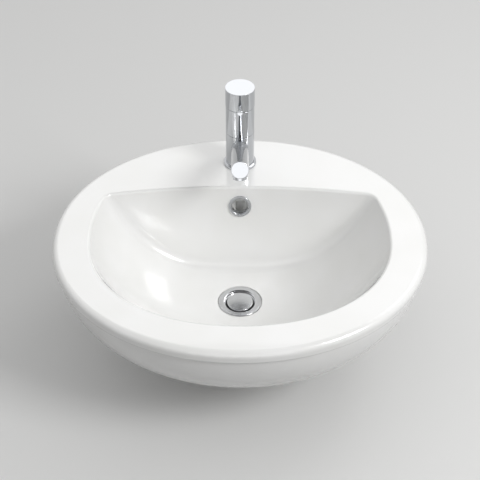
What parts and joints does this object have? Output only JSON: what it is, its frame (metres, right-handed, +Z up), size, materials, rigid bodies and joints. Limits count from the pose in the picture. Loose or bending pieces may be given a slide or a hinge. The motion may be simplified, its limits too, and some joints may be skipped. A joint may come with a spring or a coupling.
{
  "type": "semi recessed basin",
  "caption": "Oval white semi recessed wash basin with a chrome single lever mixer on its deck, a chrome press-to-open waste and a ringed overflow.",
  "frame": {"origin": "on the mirror plane, at the worktop's surface, in the middle of the rim's seat at the back", "axes": "+Z up, +X to the right of someone at the basin, -Y towards them: the rounded front that stands out before the worktop is on the -Y side"},
  "size_m": [0.55, 0.487, 0.3692],
  "materials": {
    "vitreous_china": "gloss",
    "chrome_plate": "polished",
    "black_rubber": "matte",
    "white_plastic": "satin",
    "plain_brass": "machined",
    "technical_ceramic": "lapped",
    "steel": "plain"
  },
  "bodies": {
    "fixed_parts": {"basin": "vitreous_china", "overflow_ring": "chrome_plate", "waste_flange_seal": "black_rubber", "waste_body": "chrome_plate", "waste_lower_seal": "black_rubber", "waste_washer": "white_plastic", "waste_backnut": "plain_brass", "click_housing": "white_plastic", "click_spring": "steel", "mixer_base_gasket": "black_rubber", "mixer_base_ring": "chrome_plate", "mixer_body": "chrome_plate", "cartridge_sleeve": "chrome_plate", "cartridge_seals": "black_rubber", "cartridge_base": "white_plastic", "fixed_disc": "technical_ceramic", "cartridge_housing": "white_plastic", "cartridge_nut": "plain_brass", "dome_cover": "chrome_plate", "aerator_housing": "chrome_plate", "aerator_insert": "white_plastic", "aerator_seal": "black_rubber", "fixing_stud": "steel", "horseshoe_gasket": "black_rubber", "horseshoe_washer": "steel", "fixing_nut": "steel"},
    "lever_turn": {"lever_carrier": "white_plastic", "lever_pivot_pin": "steel"},
    "lever_lift": {"cartridge_stem": "plain_brass", "handle_cap": "chrome_plate", "handle_pin": "chrome_plate", "handle_grub_screw": "steel"},
    "flow_disc": {"moving_disc": "technical_ceramic", "disc_coupler": "white_plastic"},
    "plug": {"plug_cap": "chrome_plate", "plug_seal": "black_rubber", "plug_stem": "plain_brass"}
  },
  "joints": [
    {"name": "lever_turn", "type": "hinge", "parent": "fixed_parts", "child": "lever_turn", "pos_m": [0, -0.054, 0.1274], "axis": [0, 0, 1], "range_deg": [-50, 50]},
    {"name": "lever_lift", "type": "hinge", "parent": "lever_turn", "child": "lever_lift", "pos_m": [0, -0.054, 0.1274], "axis": [-1, 0, 0], "range_deg": [0, 22]},
    {"name": "disc_slide", "type": "slide", "parent": "lever_turn", "child": "flow_disc", "axis": [0, -1, 0], "range_m": [0, 0.0056]},
    {"name": "plug_rise", "type": "slide", "parent": "fixed_parts", "child": "plug", "axis": [0, 0, 1], "range_m": [0, 0.009], "deforming": ["click_spring"]}
  ],
  "couplings": [
    {"joint": "disc_slide", "follows": "lever_lift", "m_per_rad": 0.014}
  ]
}
